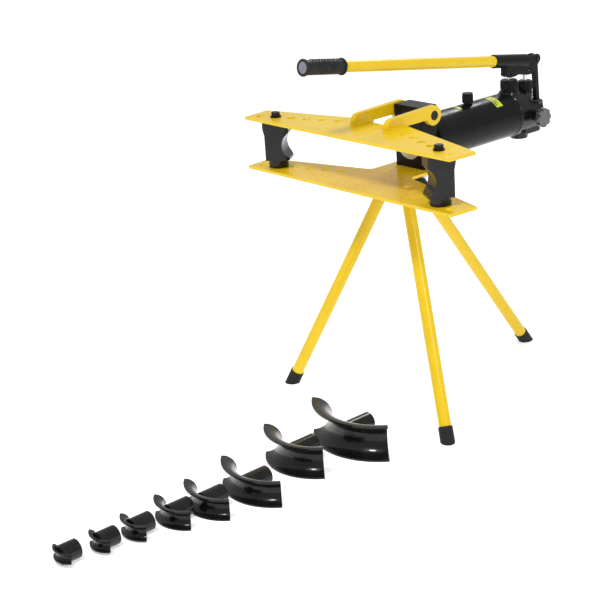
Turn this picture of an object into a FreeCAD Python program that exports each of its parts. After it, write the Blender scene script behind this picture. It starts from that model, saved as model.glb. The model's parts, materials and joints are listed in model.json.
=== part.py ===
import FreeCAD, Part
import math
import os

import Sketcher
from FreeCAD import Placement, Rotation, Vector

# Hydraulic pipe bender, three inch class, with an opening top wing, a tripod stand and eight formers.
# Millimetres. The origin is the middle of the ram's nose spigot with the ram drawn back. +X runs along
# the wings, +Y runs back to the pump, +Z is up. The formers stand in a row on the floor in front.

SIZES = {
    # wings
    "wing_gap": 132.0, "wing_plate": 8.0, "wing_front": 238.0, "wing_half_front": 387.0,
    "wing_half_back": 394.0, "wing_end_depth": 87.0, "wing_root_half": 74.0, "wing_root_depth": 176.0,
    "top_throat_depth": 154.0, "tongue_back": 82.0,
    "hole_radius": 11.25, "hole_first": 354.0, "hole_pitch": 45.5, "hole_first_depth": 30.0,
    "hole_pitch_depth": 16.5,
    # arms of the top wing and their hinge
    "arm_clearance": 1.5, "arm_thickness": 17.0, "arm_nose_depth": 103.0, "arm_nose_height": 29.0,
    "arm_end_radius": 27.0, "hinge_back": 43.0, "hinge_rise": 15.0, "hinge_radius": 13.0, "hinge_proud": 2.0,
    # head block
    "block_half": 52.0, "block_front": 12.0, "block_length": 62.0, "block_top": 104.0, "block_edge": 2.5,
    # pins and shoes
    "pin_radius": 11.0, "running_gap": 0.05, "face_gap": 0.2, "pin_flange_radius": 15.0, "pin_flange": 4.0,
    "pin_knob_radius": 12.0, "pin_knob": 11.0, "upper_pin_reach": 22.0, "lower_pin_reach": 70.0,
    "shoe_base_radius": 27.5, "shoe_base": 24.0, "shoe_groove": 43.0, "shoe_waist": 20.0, "shoe_lip": 38.0,
    "shoe_back": 28.0, "shoe_brow": 34.0, "shoe_brow_low": 30.0, "shoe_brow_high": 46.0,
    "shoe_side": 33.0, "shoe_corner_radius": 44.0,
    # cylinder, ram and tank
    "tube_outer": 43.0, "tube_bore": 33.0, "ram_radius": 26.0, "ram_bore": 13.0, "spigot_radius": 16.0,
    "spigot_length": 32.0, "gland_length": 34.0, "piston_length": 36.0, "tank_back": 404.0,
    "tank_radius": 63.5, "tank_wall": 4.0, "collar_length": 14.0, "collar_radius": 65.5,
    "filler_place": 250.0, "neck_radius": 10.0, "neck_height": 3.5, "cap_radius": 15.0, "cap_height": 30.0,
    "label_skin": 0.4, "label_back": 345.0, "label_length": 25.0, "label_sweep": 46.0,
    "sticker_back": 205.0, "sticker_length": 9.0, "sticker_sweep": 32.0,
    # pump
    "plug_length": 18.0, "base_radius": 65.5, "base_barrel": 98.0, "base_half": 50.0,
    "base_top": 25.0, "base_top_front": 450.0, "base_bottom": 60.0, "base_box": 66.0,
    "sump_radius": 30.0, "sump_depth": 78.0, "rear_column": 26.0,
    "main_place": 424.0, "fast_place": 493.0, "main_tower": 38.0, "main_tower_top": 66.0,
    "fast_tower": 21.5, "fast_tower_top": 50.0, "main_barrel_radius": 16.0, "fast_barrel_radius": 13.0,
    "main_cap_radius": 24.5, "main_cap": 33.0, "fast_cap_radius": 20.5, "fast_cap": 34.0,
    "main_plunger_radius": 10.0, "fast_plunger_radius": 7.0, "tongue_half": 7.0, "tongue_drop": 24.0,
    "barrel_foot": 8.0, "barrel_floor": 6.0,
    "gallery_radius": 3.0, "gallery_drop": 16.0,
    "valve_place": 464.0, "valve_drop": 8.0, "valve_stem": 6.0, "valve_boss": 15.0, "valve_face": 78.0,
    "knob_radius": 28.0, "knob_thick": 14.0, "knob_inner": 84.0,
    # lever, link and handle
    "fulcrum_back": 535.0, "fulcrum_height": 140.0, "fulcrum_pin_radius": 6.0, "cheek_end": 14.0,
    "main_pin_height": 121.0, "fast_pin_height": 112.0, "plunger_pin_radius": 4.5, "slot_clearance": 1.3,
    "main_rise": 111.2, "fast_rise": 47.1, "lever_lift": 28.0,
    "link_half": 7.0, "link_end": 11.0, "link_body": 6.5, "link_foot_back": 543.0, "link_foot_height": 8.0,
    "lug_plate": 6.5, "lug_end": 13.0, "pin_proud": 2.5,
    "cheek_gap": 7.5, "cheek_plate": 5.0, "handle_rise": 9.0, "handle_radius": 15.5, "handle_wall": 2.5,
    "handle_pass": 363.0, "handle_pass_height": 161.2, "handle_front": 723.0, "handle_hold": 90.0,
    "socket_wall": 3.7, "socket_front": 5.0, "socket_back": 134.0, "grip_radius": 19.5,
    "grip_length": 136.0, "grip_flange_radius": 22.5, "grip_flange": 5.0,
    # tripod
    "floor_drop": 719.0, "bracket_half": 54.0, "bracket_front": 66.0, "bracket_back": 74.0,
    "bracket_plate": 8.0, "leg_radius": 17.0, "leg_wall": 3.0, "leg_top_drop": 95.0,
    "front_leg_top_half": 32.0, "front_leg_top": 39.0, "front_foot_half": 311.0, "front_foot": 197.5,
    "rear_leg_top": 30.0, "rear_foot": 482.0, "leg_socket": 50.0, "foot_wall": 2.5, "foot_height": 42.0,
    "foot_pad": 14.0, "screw_radius": 5.0, "screw_head_radius": 8.0, "screw_head": 7.0,
    "block_screw_half": 44.0,
    # formers
    "former_half_angle": 50.0, "boss_radius": 24.0, "boss_bore": 16.1, "boss_bore_depth": 34.0,
}

# Each former: node, pipe outside diameter, groove centre-line radius, and the place of its arc's centre.
FORMERS = (
    ("former_half_inch", 21.3, 48.0, 78.0, -1222.0),
    ("former_three_quarter_inch", 26.9, 54.0, 93.0, -1123.0),
    ("former_one_inch", 33.7, 66.0, 98.0, -1021.0),
    ("former_one_and_quarter_inch", 42.4, 92.0, 110.0, -896.0),
    ("former_one_and_half_inch", 48.3, 114.0, 126.0, -787.0),
    ("former_two_inch", 60.3, 150.0, 143.0, -635.0),
    ("former_two_and_half_inch", 76.1, 150.0, 108.0, -461.0),
    ("former_three_inch", 88.9, 190.0, 132.0, -258.0),
)

HOLES_PER_SIDE = 6
PIN_STATION = 1
SPRING_TURNS = 24
SPRING_WIRE = 1.6
SPRING_RADIUS = 9.0
KNOB_LOBES = 8
LEFT_SHOE_TURN = 215.0
RIGHT_SHOE_TURN = 62.0

doc = FreeCAD.newDocument("pipe_bender")
sheet = doc.addObject("Spreadsheet::Sheet", "Sizes")


class Size:
    """A length or angle that carries both its number and the sheet expression that drives it."""

    def __init__(self, value, text):
        self.value = value
        self.text = text

    def __float__(self):
        return float(self.value)

    def __add__(self, other):
        return Size(self.value + float(other), f"({self.text} + {words(other)})")

    def __sub__(self, other):
        return Size(self.value - float(other), f"({self.text} - {words(other)})")

    def __mul__(self, other):
        return Size(self.value * float(other), f"({self.text} * {words(other)})")

    def __truediv__(self, other):
        return Size(self.value / float(other), f"({self.text} / {words(other)})")

    def __neg__(self):
        return Size(-self.value, f"(0 - {self.text})")


def words(quantity):
    """The expression text of a Size or a plain number."""
    return quantity.text if isinstance(quantity, Size) else f"{float(quantity):.6f}"


def fill_sheet():
    """Writes each size with its alias and returns the sizes by name."""
    table = {}
    for row, (alias, value) in enumerate(SIZES.items(), start=1):
        sheet.set(f"A{row}", alias)
        sheet.set(f"B{row}", str(value))
        sheet.setAlias(f"B{row}", alias)
        table[alias] = Size(value, f"Sizes.{alias}")
    doc.recompute()
    return table


d = fill_sheet()
nodes = []

# ------------------------------------------------------------------------------------------------
# helpers

AXES = {"x": Rotation(Vector(0, 1, 0), 90), "y": Rotation(Vector(1, 0, 0), -90), "z": Rotation()}


def node(obj, label):
    """Marks an object as a sub-part that is written to its own file."""
    obj.Label = label
    nodes.append(obj)
    return obj


def drive(obj, prop, size):
    """Sets a property, bound to the sheet where the size comes from it."""
    if isinstance(size, Size):
        obj.setExpression(prop, size.text)
    return float(size)


def place(obj, x, y, z, rotation=None):
    """Puts an object down, with each coordinate bound to the sheet."""
    obj.Placement = Placement(Vector(float(x), float(y), float(z)), rotation or Rotation())
    for letter, size in (("x", x), ("y", y), ("z", z)):
        drive(obj, f"Placement.Base.{letter}", size)


def rod(name, radius, length, x, y, z, axis="z"):
    """A cylinder that starts at the given point and runs along the named axis."""
    obj = doc.addObject("Part::Cylinder", name)
    obj.Radius = drive(obj, "Radius", radius)
    obj.Height = drive(obj, "Height", length)
    place(obj, x, y, z, AXES[axis])
    return obj


def taper(name, radius, end_radius, length, x, y, z, axis="z"):
    """A cone frustum that starts at the given point and runs along the named axis."""
    obj = doc.addObject("Part::Cone", name)
    obj.Radius1 = drive(obj, "Radius1", radius)
    obj.Radius2 = drive(obj, "Radius2", end_radius)
    obj.Height = drive(obj, "Height", length)
    place(obj, x, y, z, AXES[axis])
    return obj


def brick(name, x, y, z, length, width, height):
    """A box with its lowest corner at the given point."""
    obj = doc.addObject("Part::Box", name)
    obj.Length = drive(obj, "Length", length)
    obj.Width = drive(obj, "Width", width)
    obj.Height = drive(obj, "Height", height)
    place(obj, x, y, z)
    return obj


def fuse(name, parts):
    obj = doc.addObject("Part::MultiFuse", name)
    obj.Shapes = parts
    obj.Refine = True
    return obj


def cut(name, base, tools):
    """The base less one or more tools."""
    tool = tools[0] if len(tools) == 1 else fuse(name + "_tools", tools)
    obj = doc.addObject("Part::Cut", name)
    obj.Base = base
    obj.Tool = tool
    obj.Refine = True
    return obj


def common(name, parts):
    obj = doc.addObject("Part::MultiCommon", name)
    obj.Shapes = parts
    obj.Refine = True
    return obj


def soften(name, base, size, chosen, kind="Part::Chamfer"):
    """Chamfers or fillets the edges of a base that a test picks out."""
    doc.recompute()
    picked = [i for i, edge in enumerate(base.Shape.Edges, start=1) if chosen(edge)]
    obj = doc.addObject(kind, name)
    obj.Base = base
    obj.Edges = [(i, float(size), float(size)) for i in picked]
    return obj


def is_ring_at(axis, places, radius):
    """A test for round edges of one radius in planes across an axis."""
    number = "xyz".index(axis)

    def test(edge):
        curve = edge.Curve
        if not isinstance(curve, Part.Circle) or abs(curve.Radius - float(radius)) > 0.01:
            return False
        return any(abs(curve.Center[number] - float(spot)) < 0.01 for spot in places)
    return test


def feature(name, shape):
    """A part whose shape is made directly from the sheet's sizes."""
    obj = doc.addObject("Part::Feature", name)
    obj.Shape = shape
    return obj


# PartDesign helpers

def new_body(label):
    return node(doc.addObject("PartDesign::Body", label), label)


def new_sketch(body, name, role, offset=None):
    """A sketch on one of its body's own origin planes, moved along the plane's normal."""
    sketch = body.newObject("Sketcher::SketchObject", name)
    plane = next(f for f in body.Origin.OriginFeatures if f.Role == role)
    sketch.AttachmentSupport = (plane, [""])
    sketch.MapMode = "FlatFace"
    if offset is not None:
        sketch.AttachmentOffset = Placement(Vector(0, 0, float(offset)), Rotation())
        drive(sketch, "AttachmentOffset.Base.z", offset)
    return sketch


def hold(sketch, geometry, point, x, y):
    """Holds a sketch point at its two distances from the origin."""
    for kind, size in (("DistanceX", x), ("DistanceY", y)):
        index = sketch.addConstraint(Sketcher.Constraint(kind, -1, 1, geometry, point, float(size)))
        drive(sketch, f"Constraints[{index}]", size)


def outline(sketch, points):
    """A closed outline of straight edges with every corner held."""
    start = sketch.GeometryCount
    count = len(points)
    spots = [Vector(float(x), float(y), 0) for x, y in points]
    for i in range(count):
        sketch.addGeometry(Part.LineSegment(spots[i], spots[(i + 1) % count]), False)
    for i in range(count):
        sketch.addConstraint(Sketcher.Constraint("Coincident", start + i, 2, start + (i + 1) % count, 1))
    for i, (x, y) in enumerate(points):
        hold(sketch, start + i, 1, x, y)


def ring(sketch, x, y, radius):
    """A full circle held by its centre and radius."""
    circle = Part.Circle(Vector(float(x), float(y), 0), Vector(0, 0, 1), float(radius))
    index = sketch.addGeometry(circle, False)
    hold(sketch, index, 3, x, y)
    sized = sketch.addConstraint(Sketcher.Constraint("Radius", index, float(radius)))
    drive(sketch, f"Constraints[{sized}]", radius)


def pad(body, name, sketch, length, reverse=False):
    obj = body.newObject("PartDesign::Pad", name)
    obj.Profile = sketch
    obj.Length = drive(obj, "Length", length)
    obj.Reversed = reverse
    return obj


def pocket(body, name, sketch, length, reverse=False):
    obj = body.newObject("PartDesign::Pocket", name)
    obj.Profile = sketch
    obj.Length = drive(obj, "Length", length)
    obj.Reversed = reverse
    return obj


def round_off(body, name, base, size, chosen, kind="PartDesign::Fillet"):
    """A fillet or chamfer of the edges of a body's feature that a test picks out."""
    doc.recompute()
    picked = [f"Edge{i}" for i, edge in enumerate(base.Shape.Edges, start=1) if chosen(edge)]
    obj = body.newObject(kind, name)
    obj.Base = (base, picked)
    if kind.endswith("Fillet"):
        obj.Radius = float(size)
    else:
        obj.Size = float(size)
    return obj


# ------------------------------------------------------------------------------------------------
# places that several pieces share

half_gap = d["wing_gap"] / 2
front_edge = -d["wing_front"]
block_back = d["block_front"] + d["block_length"]
hinge_z = half_gap + d["hinge_rise"]
pin_x = d["hole_first"] - d["hole_pitch"] * PIN_STATION
pin_y = front_edge + d["hole_first_depth"] + d["hole_pitch_depth"] * PIN_STATION
under_wing = -half_gap - d["wing_plate"]
under_bracket = under_wing - d["bracket_plate"]
shoe_bore = d["pin_radius"] + d["running_gap"]


# ------------------------------------------------------------------------------------------------
# wings

def wing_holes(body, base_name, level):
    """The row of pin holes on each side, parallel to the tapered back edge."""
    sketch = new_sketch(body, base_name + "_hole_sketch", "XY_Plane", level)
    for side in (-1, 1):
        for station in range(HOLES_PER_SIDE):
            x = (d["hole_first"] - d["hole_pitch"] * station) * side
            y = front_edge + d["hole_first_depth"] + d["hole_pitch_depth"] * station
            ring(sketch, x, y, d["hole_radius"])
    return pocket(body, base_name + "_holes", sketch, d["wing_plate"])


def wing(label, level, throat):
    """A wing plate. The throat points close its back edge between the two tapered halves."""
    body = new_body(label)
    sketch = new_sketch(body, label + "_outline", "XY_Plane", level - d["wing_plate"])
    end_y = front_edge + d["wing_end_depth"]
    outline(sketch, [
        (-d["wing_half_front"], front_edge),
        (d["wing_half_front"], front_edge),
        (d["wing_half_back"], end_y),
        *throat,
        (-d["wing_half_back"], end_y),
    ])
    pad(body, label + "_plate", sketch, d["wing_plate"])
    holes = wing_holes(body, label, level)
    return body, holes


root_y = front_edge + d["wing_root_depth"]
throat_y = front_edge + d["top_throat_depth"]


def bottom_wing():
    """The lower wing, with the tongue that carries the head block."""
    body, holes = wing("bottom_wing", -half_gap, [
        (d["wing_root_half"] + 14, root_y - 4),
        (d["wing_root_half"], root_y + 8),
        (d["wing_root_half"], d["tongue_back"]),
        (-d["wing_root_half"], d["tongue_back"]),
        (-d["wing_root_half"], root_y + 8),
        (-d["wing_root_half"] - 14, root_y - 4),
    ])
    return body


def top_wing():
    """The upper wing, whose back edge stops short of the head block."""
    body, holes = wing("top_wing", half_gap + d["wing_plate"], [
        (d["wing_root_half"], root_y),
        (d["wing_root_half"] - 20, root_y),
        (d["wing_root_half"] - 32, throat_y),
        (-d["wing_root_half"] + 32, throat_y),
        (-d["wing_root_half"] + 20, root_y),
        (-d["wing_root_half"], root_y),
    ])
    return body


def arm(label, inner_x):
    """A hinge arm on edge: rounded nose, gently rising back, round end about the hinge."""
    top_of_wing = float(half_gap + d["wing_plate"])
    nose_y = float(front_edge + d["arm_nose_depth"])
    hinge = (float(d["hinge_back"]), float(hinge_z))
    end_r = float(d["arm_end_radius"])
    nose_h = float(d["arm_nose_height"])
    nose_r = nose_h * 0.75
    start = (nose_y + nose_r, top_of_wing + nose_h - nose_r)
    slope = math.atan2(hinge[1] + end_r - start[1] - nose_r, hinge[0] - start[0])
    lift = (-math.sin(slope), math.cos(slope))
    nose_top = (start[0] + nose_r * lift[0], start[1] + nose_r * lift[1])
    end_top = (hinge[0] + end_r * lift[0], hinge[1] + end_r * lift[1])
    drop = top_of_wing - hinge[1]
    meet = (hinge[0] - math.sqrt(end_r ** 2 - drop ** 2), top_of_wing)

    def spot(point):
        return Vector(0, point[0], point[1])

    def arc(first, middle, last):
        return Part.Arc(spot(first), spot(middle), spot(last)).toShape()

    front = (nose_y, start[1])
    bulge = math.radians(135)
    nose_middle = (start[0] + nose_r * math.cos(bulge), start[1] + nose_r * math.sin(bulge))
    end_middle = (hinge[0] + end_r * math.cos(-0.7), hinge[1] + end_r * math.sin(-0.7))
    foot = (nose_y, top_of_wing)
    edges = [
        Part.makeLine(spot(foot), spot(front)),
        arc(front, nose_middle, nose_top),
        Part.makeLine(spot(nose_top), spot(end_top)),
        arc(end_top, end_middle, meet),
        Part.makeLine(spot(meet), spot(foot)),
    ]
    face = Part.Face(Part.Wire(edges))
    solid = face.extrude(Vector(float(d["arm_thickness"]), 0, 0))
    bore = Part.makeCylinder(float(d["hinge_radius"] + d["running_gap"]), float(d["arm_thickness"]),
                             Vector(0, *hinge), Vector(1, 0, 0))
    body = feature(label, soft_rims(solid.cut(bore), 1.5))
    body.Placement = Placement(Vector(float(inner_x), 0, 0), Rotation())
    return node(body, label)


def soft_rims(solid, size):
    """Rounds the edges that lie in a plate's two side faces, other than its bore and flat foot."""
    low = solid.BoundBox.ZMin
    span = (solid.BoundBox.XMin, solid.BoundBox.XMax)
    foot = float(half_gap + d["wing_plate"])
    chosen = []
    for edge in solid.Edges:
        box = edge.BoundBox
        flat = box.XLength < 1e-6 and min(abs(box.XMin - s) for s in span) < 1e-6
        is_bore = isinstance(edge.Curve, Part.Circle) and edge.Closed
        is_foot = box.ZLength < 1e-6 and abs(box.ZMin - foot) < 1e-6
        if flat and not is_bore and not is_foot and box.ZMin >= low - 1:
            chosen.append(edge)
    return solid.makeChamfer(size, chosen)


bottom_wing()
top_wing()
arm_inner = d["block_half"] + d["arm_clearance"]
arm("top_arm_right", arm_inner)
arm("top_arm_left", -arm_inner - d["arm_thickness"])


# ------------------------------------------------------------------------------------------------
# head block and hinge pin

def head_block():
    """The block that carries the cylinder tube and the hinge pin of the top wing."""
    body = new_body("head_block")
    sketch = new_sketch(body, "block_outline", "XY_Plane", -half_gap)
    outline(sketch, [
        (-d["block_half"], d["block_front"]), (d["block_half"], d["block_front"]),
        (d["block_half"], block_back), (-d["block_half"], block_back),
    ])
    block = pad(body, "block_pad", sketch, half_gap + d["block_top"])
    size = float(d["block_edge"])
    edged = round_off(body, "block_edges", block, size,
                      lambda e: e.BoundBox.ZMax > float(d["block_top"]) - 0.01
                      or e.BoundBox.ZLength > 50, "PartDesign::Chamfer")
    tube = new_sketch(body, "tube_seat", "XZ_Plane", -d["block_front"])
    ring(tube, Size(0, "0"), Size(0, "0"), d["tube_outer"])
    pocket(body, "tube_bore_pocket", tube, d["block_length"])
    seat = new_sketch(body, "hinge_seat", "YZ_Plane", d["block_half"])
    ring(seat, d["hinge_back"], hinge_z, d["hinge_radius"])
    pocket(body, "hinge_bore", seat, d["block_half"] * 2)
    return body


def hinge_pin():
    """The cross pin, a little proud of both arms."""
    reach = arm_inner + d["arm_thickness"] + d["hinge_proud"]
    bar = rod("hinge_bar", d["hinge_radius"], reach * 2, -reach, d["hinge_back"], hinge_z, "x")
    return node(soften("hinge_pin", bar, 1.5, is_ring_at("x", (-reach, reach), d["hinge_radius"])), "hinge_pin")


head_block()
hinge_pin()


# ------------------------------------------------------------------------------------------------
# roller pins and shoes

def upper_pin(label, side):
    """A headed pin through the top wing, tapered where it enters the shoe."""
    x = pin_x * side
    top = half_gap + d["wing_plate"]
    shank = rod(label + "_shank", d["pin_radius"], d["wing_plate"], x, pin_y, half_gap)
    tip = taper(label + "_tip", d["pin_radius"] - 3.2, d["pin_radius"] - 0.4, d["upper_pin_reach"],
                x, pin_y, half_gap - d["upper_pin_reach"])
    flange = rod(label + "_flange", d["pin_flange_radius"], d["pin_flange"], x, pin_y, top)
    knob = rod(label + "_knob", d["pin_knob_radius"], d["pin_knob"], x, pin_y, top + d["pin_flange"])
    dome = soften(label + "_dome", knob, 3.5,
                  is_ring_at("z", (top + d["pin_flange"] + d["pin_knob"],), d["pin_knob_radius"]),
                  "Part::Fillet")
    return node(fuse(label, [shank, tip, flange, dome]), label)


def lower_pin(label, side):
    """A headed pin up through the bottom wing, which carries the shoe."""
    x = pin_x * side
    length = d["wing_plate"] + d["lower_pin_reach"]
    shank = rod(label + "_shank", d["pin_radius"], length, x, pin_y, under_wing)
    head = rod(label + "_head", d["pin_flange_radius"], d["pin_flange"] + 4, x, pin_y,
               under_wing - d["pin_flange"] - 4)
    return node(fuse(label, [shank, head]), label)


def shoe_profile(low, high):
    """The shoe seen along its groove, above the base: deep pipe groove in front, flared brow behind."""
    groove = float(d["shoe_groove"])
    lip = -float(d["shoe_lip"])
    waist = -float(d["shoe_waist"])
    back = float(d["shoe_back"])
    brow = float(d["shoe_brow"])
    reach = math.sqrt(groove ** 2 - (waist - lip - groove) ** 2)
    outline_points = [
        (lip, reach), (lip, high), (brow, high), (brow, float(d["shoe_brow_high"])),
        (back, float(d["shoe_brow_low"])), (back, low), (lip, low), (lip, -reach),
    ]
    spots = [Vector(x, 0, z) for x, z in outline_points]
    edges = [Part.makeLine(a, b) for a, b in zip(spots, spots[1:])]
    edges.append(Part.Arc(spots[-1], Vector(waist, 0, 0), spots[0]).toShape())
    return Part.Face(Part.Wire(edges))


def shoe(label, side, turn):
    """A swivelling shoe with a deep pipe groove in its front and a round foot."""
    low = float(-half_gap + d["face_gap"])
    high = float(half_gap - d["face_gap"])
    base_top = low + float(d["shoe_base"])
    half = float(d["shoe_side"])
    body = shoe_profile(base_top, high).extrude(Vector(0, 2 * half, 0))
    body.translate(Vector(0, -half, 0))
    corners = Part.makeCylinder(float(d["shoe_corner_radius"]), high - base_top, Vector(0, 0, base_top))
    body = body.common(corners)
    base = Part.makeCylinder(float(d["shoe_base_radius"]), float(d["shoe_base"]), Vector(0, 0, low))
    solid = body.fuse(base).removeSplitter()
    solid = solid.cut(Part.makeCylinder(float(shoe_bore), high - low, Vector(0, 0, low)))
    rim = [e for e in solid.Edges if isinstance(e.Curve, Part.Circle)
           and abs(e.Curve.Radius - float(d["shoe_base_radius"])) < 0.01 and abs(e.BoundBox.ZMax - low) < 0.01]
    obj = feature(label, solid.makeChamfer(1.5, rim))
    obj.Placement = Placement(Vector(float(pin_x) * side, float(pin_y), 0), Rotation(Vector(0, 0, 1), turn))
    return node(obj, label)


for side, name in ((-1, "left"), (1, "right")):
    upper_pin(name + "_upper_pin", side)
    lower_pin(name + "_lower_pin", side)
shoe("left_shoe", -1, LEFT_SHOE_TURN)
shoe("right_shoe", 1, RIGHT_SHOE_TURN)


# ------------------------------------------------------------------------------------------------
# cylinder, ram and tank

def cylinder_tube():
    """The working cylinder, seated in the head block in front and the pump base behind."""
    length = d["tank_back"] - d["block_front"]
    outer = rod("tube_outside", d["tube_outer"], length, 0, d["block_front"], 0, "y")
    bore = rod("tube_inside", d["tube_bore"], length, 0, d["block_front"], 0, "y")
    return node(cut("cylinder_tube", outer, [bore]), "cylinder_tube")


def gland():
    """The bush that closes the tube and guides the ram."""
    outer = rod("gland_outside", d["tube_bore"], d["gland_length"], 0, d["block_front"], 0, "y")
    bore = rod("gland_inside", d["ram_radius"] + d["running_gap"], d["gland_length"],
               0, d["block_front"], 0, "y")
    return node(cut("gland_bush", outer, [bore]), "gland_bush")


ram_front = -d["spigot_length"] / 2
shoulder = d["spigot_length"] / 2
plug_front = d["tank_back"] - d["plug_length"]
piston_back = plug_front - 6
piston_front = piston_back - d["piston_length"]
spring_front = shoulder + 34


def ram():
    """The ram: nose spigot for the formers, rod, and piston, with a bore for the return spring."""
    spigot = rod("ram_spigot", d["spigot_radius"], d["spigot_length"], 0, ram_front, 0, "y")
    nose = soften("ram_nose", spigot, 2.0, is_ring_at("y", (ram_front,), d["spigot_radius"]))
    shaft = rod("ram_shaft", d["ram_radius"], piston_front - shoulder, 0, shoulder, 0, "y")
    piston = rod("ram_piston", d["tube_bore"] - d["running_gap"], d["piston_length"], 0, piston_front, 0, "y")
    solid = fuse("ram_solid", [nose, shaft, piston])
    hollow = rod("ram_hollow", d["ram_bore"], piston_back - spring_front, 0, spring_front, 0, "y")
    groove_y = piston_front + d["piston_length"] / 2 - 4
    groove = rod("seal_groove_outside", d["tube_bore"] + 1, 8, 0, groove_y, 0, "y")
    core = rod("seal_groove_core", d["tube_bore"] - 5, 8, 0, groove_y, 0, "y")
    node(cut("ram", solid, [hollow, cut("seal_groove", groove, [core])]), "ram")

    seal = rod("seal_outside", d["tube_bore"] - d["running_gap"], 8, 0, groove_y, 0, "y")
    hole = rod("seal_inside", d["tube_bore"] - 5, 8, 0, groove_y, 0, "y")
    return node(cut("piston_seal", seal, [hole]), "piston_seal")


def return_spring():
    """The extension spring inside the ram, wound about the peg on the pump's plug."""
    front = float(spring_front) + SPRING_WIRE + 2
    back = float(plug_front) - SPRING_WIRE - 0.1
    pitch = (back - front) / SPRING_TURNS
    helix = Part.makeHelix(pitch, pitch * SPRING_TURNS, SPRING_RADIUS)
    section = Part.Wire(Part.makeCircle(SPRING_WIRE, Vector(SPRING_RADIUS, 0, 0), Vector(0, 1, 0)))
    obj = feature("return_spring", Part.Wire(helix).makePipeShell([section], True, True))
    obj.Placement = Placement(Vector(0, front, 0), Rotation(Vector(1, 0, 0), -90))
    return node(obj, "return_spring")


tank_front = block_back + d["collar_length"]


def tank():
    """The oil tank round the cylinder tube, with the hole of its filler neck."""
    length = d["tank_back"] - tank_front
    outer = rod("tank_outside", d["tank_radius"], length, 0, tank_front, 0, "y")
    inner = rod("tank_inside", d["tank_radius"] - d["tank_wall"], length, 0, tank_front, 0, "y")
    hole = rod("tank_filler_hole", d["neck_radius"], d["tank_wall"] + 12, 0, d["filler_place"],
               d["tank_radius"] - d["tank_wall"] - 6)
    return node(cut("tank", outer, [inner, hole]), "tank")


def tank_collar():
    """The ring that closes the front of the tank against the head block."""
    outer = rod("collar_outside", d["collar_radius"], d["collar_length"], 0, block_back, 0, "y")
    inner = rod("collar_inside", d["tube_outer"], d["collar_length"], 0, block_back, 0, "y")
    edged = soften("collar_edged", outer, 2.5, is_ring_at("y", (block_back, tank_front), d["collar_radius"]))
    return node(cut("tank_collar", edged, [inner]), "tank_collar")


neck_low = d["tank_radius"] - d["tank_wall"] - 2
neck_top = d["tank_radius"] + d["neck_height"]


def filler():
    """The filler neck and its knurled cap."""
    outer = rod("neck_outside", d["neck_radius"], neck_top - neck_low, 0, d["filler_place"], neck_low)
    inner = rod("neck_inside", d["neck_radius"] - 2.5, neck_top - neck_low, 0, d["filler_place"], neck_low)
    node(cut("filler_neck", outer, [inner]), "filler_neck")
    low = neck_top + d["running_gap"]
    body = rod("cap_body", d["cap_radius"], d["cap_height"] - d["neck_height"], 0, d["filler_place"], low)
    stem = rod("cap_stem", d["neck_radius"] - 2.5 - d["running_gap"], 8, 0, d["filler_place"], low - 8)
    notches = []
    for i in range(24):
        angle = 2 * math.pi * i / 24
        x = d["cap_radius"] * math.cos(angle)
        y = d["filler_place"] + d["cap_radius"] * math.sin(angle)
        notches.append(rod(f"cap_notch_{i}", 0.9, d["cap_height"], x, y, low - 1))
    return node(cut("filler_cap", fuse("cap_blank", [body, stem]), notches), "filler_cap")


def skin(label, back, length, first_angle, sweep):
    """A printed label on the tank: a thin curved sheet."""
    radius = float(d["tank_radius"])
    outer = Part.makeCylinder(radius + float(d["label_skin"]), float(length), Vector(0, 0, 0), Vector(0, 1, 0), sweep)
    inner = Part.makeCylinder(radius, float(length), Vector(0, 0, 0), Vector(0, 1, 0))
    obj = feature(label, outer.cut(inner))
    start = Rotation(Vector(0, 1, 0), first_angle)
    obj.Placement = Placement(Vector(0, float(back) - float(length), 0), start)
    return node(obj, label)


cylinder_tube()
gland()
ram()
return_spring()
tank()
tank_collar()
filler()
skin("tank_label", d["label_back"], d["label_length"], 0, float(d["label_sweep"]))
skin("tank_sticker", d["sticker_back"], d["sticker_length"], -13, float(d["sticker_sweep"]))


# ------------------------------------------------------------------------------------------------
# pump base, barrels and plungers

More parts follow.
